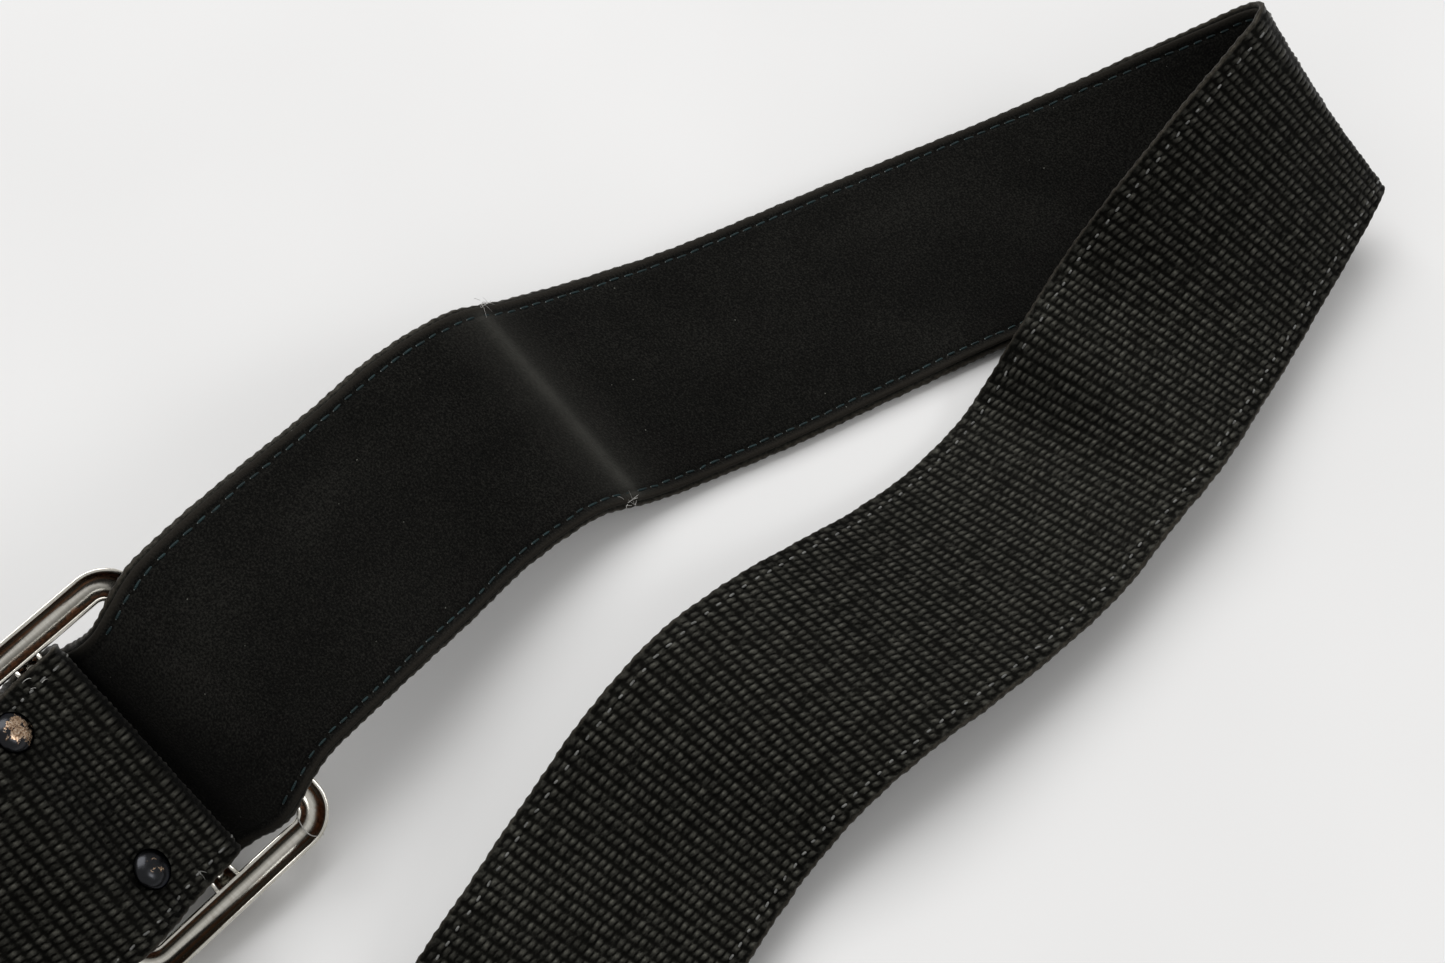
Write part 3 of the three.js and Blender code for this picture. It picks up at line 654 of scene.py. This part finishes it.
# ---------------------------------------------------------------- materials
class Nodes:
    """A small helper that builds a material's node tree."""

    def __init__(self, name):
        self.material = bpy.data.materials.new(name)
        self.material.use_nodes = True
        self.tree = self.material.node_tree
        self.shader = next(n for n in self.tree.nodes if n.type == "BSDF_PRINCIPLED")

    def add(self, kind, inputs=None, **settings):
        node = self.tree.nodes.new(kind)
        for key, value in settings.items():
            setattr(node, key, value)
        for key, value in (inputs or {}).items():
            self.give(node, key, value)
        return node

    def give(self, node, key, value):
        socket = node.inputs[key]
        if isinstance(value, bpy.types.NodeSocket):
            self.tree.links.new(value, socket)
        else:
            socket.default_value = value

    def attribute(self, name, output="Fac"):
        return self.add("ShaderNodeAttribute", attribute_name=name).outputs[output]

    def math(self, operation, *values, clamp=False):
        node = self.add("ShaderNodeMath", operation=operation, use_clamp=clamp)
        for i, value in enumerate(values):
            self.give(node, i, value)
        return node.outputs[0]

    def ramp(self, value, *stops):
        node = self.add("ShaderNodeValToRGB", {"Fac": value})
        band = node.color_ramp
        while len(band.elements) < len(stops):
            band.elements.new(0.5)
        for element, (place, colour) in zip(band.elements, stops):
            element.position = place
            element.color = colour if len(colour) == 4 else (*colour, 1)
        return node.outputs["Color"]

    def level(self, value, low, high, out_low=0.0, out_high=1.0):
        return self.add("ShaderNodeMapRange", {
            "Value": value, "From Min": low, "From Max": high, "To Min": out_low, "To Max": out_high},
            clamp=True).outputs[0]

    def mix(self, share, a, b):
        node = self.add("ShaderNodeMix", data_type="RGBA")
        self.give(node, 0, share)
        self.give(node, 6, a)
        self.give(node, 7, b)
        return node.outputs[2]

    def separate(self, vector, index):
        return self.add("ShaderNodeSeparateXYZ", {"Vector": vector}).outputs[index]

    def scaled(self, vector, scale):
        return self.add("ShaderNodeMapping", {"Vector": vector, "Scale": scale}).outputs[0]

    def noise(self, vector, scale, detail=3, roughness=0.5, distortion=0.0):
        return self.add("ShaderNodeTexNoise", {
            "Vector": vector, "Scale": scale, "Detail": detail, "Roughness": roughness,
            "Distortion": distortion}).outputs["Fac"]

    def bump(self, height, strength, distance, normal=None):
        inputs = {"Height": height, "Strength": strength, "Distance": distance}
        if normal is not None:
            inputs["Normal"] = normal
        return self.add("ShaderNodeBump", inputs).outputs[0]

    def set(self, **values):
        for key, value in values.items():
            self.give(self.shader, key.replace("_", " "), value)


# the suede's brownish rim, and the webbing's selvedge, painted tan and lighter as partly its worn colour and
# partly a painted highlight, begin this far from the middle, in millimetres
RIM_FROM = 22.9
EDGE_FROM = 24.7


def grey(value, warm=0.0):
    return (value * (1 + warm), value, value * (1 - warm), 1)


def olive(value):
    return (value * 1.03, value, value * 0.86, 1)


def webbing_material():
    n = Nodes("webbing_nylon")
    place = n.attribute("place", "Vector")
    level = n.attribute("level")
    patch = n.noise(n.scaled(place, (0.06, 0.02, 1)), 1.0, 2)
    fibre = n.noise(n.scaled(place, (9.0, 1.1, 1)), 1.0, 2, 0.6)
    speckle = n.level(n.noise(n.scaled(place, (1.5, 1.0, 1.5)), 1.0, 2, 0.75), 0.3, 0.7, -0.5, 0.5)
    # painted shade: the weave's grooves (low level) are painted darker and the grain tops lighter; fibre,
    # patch and speckle add random tone
    shade = n.math("MULTIPLY_ADD", fibre, 0.25, n.math("MULTIPLY", level, 0.8))
    shade = n.math("MULTIPLY_ADD", patch, 0.2, n.math("SUBTRACT", shade, 0.1))
    shade = n.math("MULTIPLY_ADD", speckle, 0.42, shade)
    colour = n.ramp(shade, (0.1, olive(0.001)), (0.5, olive(0.0038)), (0.8, olive(0.0125)),
                    (1.0, olive(0.03)))
    lint = n.level(n.noise(place, 1.6, 2, 0.6), 0.72, 0.78)
    # painted shade on reflections: the specular level falls in the grooves and rises on the grain tops, with
    # random speckle
    gloss_with_groove_shade = n.math("MULTIPLY_ADD", speckle, 0.3, level)
    # painted highlight: the selvedges are painted lighter and tan, partly their worn colour and partly the
    # light their rounded edges catch
    across = n.math("ABSOLUTE", n.separate(place, 0))
    edge = n.level(across, EDGE_FROM, EDGE_FROM + 0.4)
    edge = n.math("MULTIPLY", edge, n.level(speckle, -0.4, 0.4, 0.3, 1.0))
    colour = n.mix(edge, colour, (0.030, 0.025, 0.019, 1))
    n.set(Base_Color=n.mix(n.math("MULTIPLY", lint, 0.3), colour, olive(0.05)),
          Roughness=n.level(fibre, 0.3, 0.7, 0.38, 0.52),
          Specular_IOR_Level=n.level(gloss_with_groove_shade, 0.3, 1.0, 0.03, 0.42), Specular_Tint=(1, 0.98, 0.82, 1),
          Sheen_Weight=0.03, Sheen_Roughness=0.5, Normal=n.bump(fibre, 0.5, 0.00012))
    return n.material


def suede_material():
    n = Nodes("suede")
    place = n.attribute("place", "Vector")
    wear = n.attribute("wear")
    nap = n.noise(place, 2.4, 3, 0.6)
    cloud = n.noise(n.scaled(place, (0.05, 0.035, 1)), 1.0, 3, 0.55, 0.4)
    tone = n.math("MULTIPLY_ADD", nap, 0.85, n.math("MULTIPLY", cloud, 0.25))
    colour = n.ramp(tone, (0.38, olive(0.0012)), (0.55, olive(0.0055)), (0.72, olive(0.017)))
    scuff = n.noise(n.scaled(place, (0.9, 1.6, 1)), 1.0, 4, 0.65)
    worn = n.math("MULTIPLY", wear, n.level(scuff, 0.3, 0.72, 0.7, 1.0), clamp=True)
    colour = n.mix(worn, colour, (0.046, 0.045, 0.040, 1))
    across = n.math("ABSOLUTE", n.separate(place, 0))
    rim = n.level(across, RIM_FROM, RIM_FROM + 0.9)
    colour = n.mix(n.math("MULTIPLY", rim, 0.7), colour, (0.024, 0.021, 0.017, 1))
    cells = n.add("ShaderNodeTexVoronoi", {"Vector": place, "Scale": 0.25})
    red = n.add("ShaderNodeSeparateColor", {"Color": cells.outputs["Color"]}).outputs[0]
    near = n.math("LESS_THAN", cells.outputs["Distance"], 0.034)
    dust = n.math("MULTIPLY", near, n.math("GREATER_THAN", red, 0.5))
    n.set(Base_Color=n.mix(n.math("MULTIPLY", dust, 0.75), colour, (0.16, 0.16, 0.14, 1)),
          Roughness=0.95, Specular_IOR_Level=0.07, Sheen_Weight=0.02, Sheen_Roughness=0.55,
          Normal=n.bump(nap, 0.7, 0.0003, n.bump(scuff, 0.3, 0.0004)))
    return n.material


def thread_material(name, body, tip, tip_from):
    n = Nodes(name)
    place = n.attribute("place", "Vector")
    waves = {"Vector": n.scaled(place, (1.0, 1.6, 1)), "Scale": 1.2, "Distortion": 0.5}
    twist = n.add("ShaderNodeTexWave", waves, wave_type="BANDS", bands_direction="DIAGONAL").outputs["Fac"]
    fade = n.noise(place, 0.8, 2)
    at_tip = n.level(n.attribute("tip"), tip_from, min(tip_from + 0.2, 1.0))
    dark = (*[v * 0.45 for v in body], 1)
    colour = n.mix(at_tip, n.mix(n.level(fade, 0.35, 0.65), dark, (*body, 1)), (*tip, 1))
    n.set(Base_Color=colour, Roughness=0.6, Specular_IOR_Level=0.3, Normal=n.bump(twist, 0.5, 0.00008))
    return n.material


def nickel_material():
    n = Nodes("worn_nickel")
    place = n.attribute("place", "Vector")
    inside = n.attribute("inside")
    wall = n.attribute("wall")
    corner = n.attribute("corner")
    blotch = n.noise(place, 0.13, 4, 0.6, 0.6)
    fine = n.noise(place, 1.4, 4, 0.65)
    streak = n.noise(n.scaled(place, (2.2, 0.25, 2.2)), 1.0, 3, 0.6)
    # the wall beside the slots is rubbed through to brown; so are patches of the corners' outer wall
    slot_wall = n.level(wall, -0.35, -0.85)
    outer_wall = n.math("MULTIPLY", n.level(wall, 0.3, 0.8), corner)
    brown_share = n.math("ADD", n.math("MULTIPLY", slot_wall, 0.85), n.math("MULTIPLY", outer_wall, 0.75))
    brown_share = n.math("MULTIPLY_ADD", blotch, 1.5, n.math("SUBTRACT", brown_share, 1.05))
    brown_share = n.level(n.math("MULTIPLY_ADD", fine, 0.5, brown_share), 0.15, 0.6)
    brown_share = n.math("MULTIPLY", brown_share, n.level(inside, 0.0, 0.3))
    painted_highlight_colour = n.ramp(streak, (0.3, (0.86, 0.82, 0.73)), (0.7, (1.0, 0.97, 0.89)))
    # painted highlight: the bottom of each hollow is painted bright and its walls dark, as the lamps'
    # reflections would show them
    off_middle = n.math("MULTIPLY_ADD", blotch, 0.2, n.math("ABSOLUTE", n.math("SUBTRACT", wall, 0.12)))
    painted_highlight_band = n.math("POWER", n.level(off_middle, 0.2, 1.0, 1.0, 0.0), 2.4)
    metal_with_painted_highlight = n.mix(painted_highlight_band, (0.13, 0.125, 0.105, 1), painted_highlight_colour)
    brown = n.ramp(fine, (0.3, (0.045, 0.022, 0.013)), (0.55, (0.21, 0.095, 0.05)), (0.8, (0.42, 0.22, 0.12)))
    pits = n.add("ShaderNodeTexVoronoi", {"Vector": place, "Scale": 1.7}).outputs["Distance"]
    pitted = n.level(pits, 0.0, 0.11)
    rough = n.math("MULTIPLY_ADD", brown_share, 0.15, n.level(fine, 0.3, 0.7, 0.16, 0.27))
    n.set(Base_Color=n.mix(brown_share, metal_with_painted_highlight, brown), Metallic=1.0, Roughness=rough,
          Normal=n.bump(pitted, 0.1, 0.0001, n.bump(fine, 0.08, 0.0002)))
    return n.material


def rivet_material():
    n = Nodes("worn_enamel")
    place = n.attribute("place", "Vector")
    height = n.separate(place, 2)
    chip = n.noise(place, 0.8, 4, 0.65, 0.4)
    rubbed = n.math("ADD", n.level(height, HEAD_BASE + 1.2, HEAD_BASE + 2.5, -0.5, 0.1), n.attribute("wear"))
    bare = n.level(n.math("MULTIPLY_ADD", chip, 1.5, rubbed), 0.66, 0.72)
    fine = n.noise(place, 2.6, 3, 0.7)
    copper = n.ramp(fine, (0.36, (0.10, 0.045, 0.025)), (0.5, (0.50, 0.34, 0.22)), (0.7, (0.74, 0.62, 0.50)))
    black = n.ramp(fine, (0.3, (0.034, 0.035, 0.038)), (0.7, (0.041, 0.042, 0.046)))
    n.set(Base_Color=n.mix(bare, black, copper), Metallic=n.level(bare, 0, 1, 1.0, 0.8),
          Roughness=n.level(fine, 0.3, 0.7, 0.21, 0.27), Specular_Tint=(0.2, 0.2, 0.22, 1),
          Normal=n.bump(bare, 0.15, 0.0001))
    return n.material


def brass_material():
    n = Nodes("dull_brass")
    place = n.add("ShaderNodeTexCoord").outputs["Object"]
    fine = n.noise(place, 1500, 3, 0.6)
    n.set(Base_Color=n.ramp(fine, (0.3, (0.20, 0.12, 0.05)), (0.7, (0.46, 0.32, 0.15))), Metallic=1.0,
          Roughness=n.level(fine, 0.3, 0.7, 0.35, 0.6), Normal=n.bump(fine, 0.2, 0.0001))
    return n.material


def fibre_material():
    n = Nodes("loose_fibre")
    place = n.add("ShaderNodeTexCoord").outputs["Object"]
    shade = n.ramp(n.noise(place, 900, 2), (0.3, (0.32, 0.31, 0.29)), (0.7, (0.62, 0.61, 0.58)))
    n.set(Base_Color=shade, Roughness=0.7)
    return n.material


def dress(piece, material):
    piece.data.materials.clear()
    piece.data.materials.append(material)


# ---------------------------------------------------------------- the pieces
# heights over the joint of the two layers: the webbing's face, the suede's seam, and the suede's face
FACE_TOP = WEAVE_BASE + 0.8 * GRAIN_HEIGHT
SUEDE_SEAM = -0.66 * MM
SUEDE_FACE = -1.0 * MM
# how far from each end of the strap its end row and its edge rows of stitches begin
END_MARGIN, ROW_MARGIN = 4 * MM, 2 * MM
pale = thread_material("thread_pale", (0.20, 0.20, 0.19), (0.06, 0.06, 0.06), 0.8)
teal = thread_material("thread_teal", (0.011, 0.030, 0.033), (0.34, 0.37, 0.36), 0.72)


def add(piece, material, slot, body, *nodes):
    """Gives a piece its material and body, and hides the CAD's nodes that it stands for. The slot is not
    used.
    """
    dress(piece, material)
    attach(piece, body)
    if nodes:
        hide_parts(*nodes)
    return piece


webbing = add(build_webbing(), webbing_material(), "webbing", "strap", "strap_webbing")
lining = add(build_lining(), suede_material(), "suede", "strap", "strap_lining")
with_webbing, with_lining = [], []
lining_from, lining_to = strap.distance(LOOP_START - 1), strap.distance(TAIL_START + 3)
for k, (edge, x) in enumerate((("upper", -SEAM), ("lower", SEAM))):
    row = build_stitches("stitches_webbing_" + edge, ROW_MARGIN, strap.length - ROW_MARGIN, x, FACE_TOP,
                         length=1.25 * MM, radius=0.23 * MM, arch=0.12 * MM, seed=40 + k)
    with_webbing.append(add(row, pale, "thread", "strap", "thread_webbing_" + edge))
    row = build_stitches("stitches_lining_" + edge, lining_from, lining_to, x, SUEDE_SEAM,
                         length=2.3 * MM, radius=0.26 * MM, arch=0.16 * MM, seed=50 + k)
    with_lining.append(add(row, teal, "thread", "strap", "thread_lining_" + edge))
for k, (end, s) in enumerate((("fold", END_MARGIN), ("tail", strap.length - END_MARGIN))):
    row = build_end_row(f"stitches_{end}_end", s, FACE_TOP,
                        length=1.9 * MM, radius=0.23 * MM, arch=0.12 * MM, seed=60 + k)
    with_webbing.append(add(row, pale, "thread", "strap", f"thread_{end}_end"))

slide = add(build_slide(), nickel_material(), "nickel", "buckle", "buckle_frame")
enamel = rivet_material()
for edge in RIVETS:
    add(build_rivet(edge), enamel, "enamel", "strap", "rivet_" + edge)
brass = brass_material()
for edge in RIVETS:
    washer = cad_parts["washer_" + edge]
    washer.material_slots[0].material = brass

crease_s = strap.distance(CREASE_STATION)
frays = [
    build_fibres("fray_crease_upper", crease_s, -HALF + 0.5 * MM, SUEDE_FACE,
                 seed=71, spread=0.7 * MM, size=2.6 * MM, count=9),
    build_fibres("fray_crease_lower", crease_s, HALF - 0.5 * MM, SUEDE_FACE,
                 seed=72, spread=0.7 * MM, size=2.2 * MM, count=8),
    build_fibres("fray_fold_upper", strap.distance(TURN_START + 0.5), -HALF + 3 * MM, FACE_TOP,
                 seed=73, spread=0.8 * MM, size=1.8 * MM, count=3),
    build_fibres("fray_fold_lower", strap.distance(TURN_START), SEAM, FACE_TOP,
                 seed=74, spread=0.8 * MM, size=1.5 * MM, count=3),
]
fibre = fibre_material()
for piece in frays:
    add(piece, fibre, "thread", "strap")
add(build_lint(), fibre, "thread", "buckle")

# ---------------------------------------------------------------- floor, light
FLOOR_REACH = 6


def build_floor():
    r = FLOOR_REACH
    floor = new_object("floor", [(-r, -r, 0), (r, -r, 0), (r, r, 0), (-r, r, 0)], [(0, 1, 2, 3)])
    n = Nodes("pale_floor")
    place = n.add("ShaderNodeTexCoord").outputs["Object"]
    soft = n.noise(place, 9, 2)
    n.set(Base_Color=n.ramp(soft, (0.3, grey(0.82, 0.004)), (0.7, grey(0.86, 0.004))), Roughness=0.6,
          Specular_IOR_Level=0.2)
    dress(floor, n.material)


def area_light(name, place, size, power):
    """A rectangular light that faces the object."""
    data = bpy.data.lights.new(name, "AREA")
    data.shape, data.size, data.size_y = "RECTANGLE", size[0], size[1]
    data.energy = power
    light = bpy.data.objects.new(name, data)
    light.location = place
    light.rotation_euler = (-Vector(place)).to_track_quat("-Z", "Y").to_euler()
    bpy.context.scene.collection.objects.link(light)


build_floor()
# a large soft light from above and behind, and a small card that the slide's hollows mirror
KEY_PLACE, KEY_SIZE, KEY_POWER = (-0.6, 1.85, 2.65), (3.2, 2.6), 85
CARD_PLACE, CARD_SIZE, CARD_POWER = (2.2, -0.4, 1.65), (0.85, 0.85), 10
WORLD_COLOUR, WORLD_STRENGTH = (1.0, 0.995, 0.985, 1), 0.4
area_light("key", KEY_PLACE, KEY_SIZE, KEY_POWER)
area_light("card", CARD_PLACE, CARD_SIZE, CARD_POWER)
world = bpy.data.worlds.new("studio")
world.use_nodes = True
world.node_tree.nodes["Background"].inputs[0].default_value = WORLD_COLOUR
world.node_tree.nodes["Background"].inputs[1].default_value = WORLD_STRENGTH
bpy.context.scene.world = world
bpy.context.scene.view_settings.view_transform = "Standard"
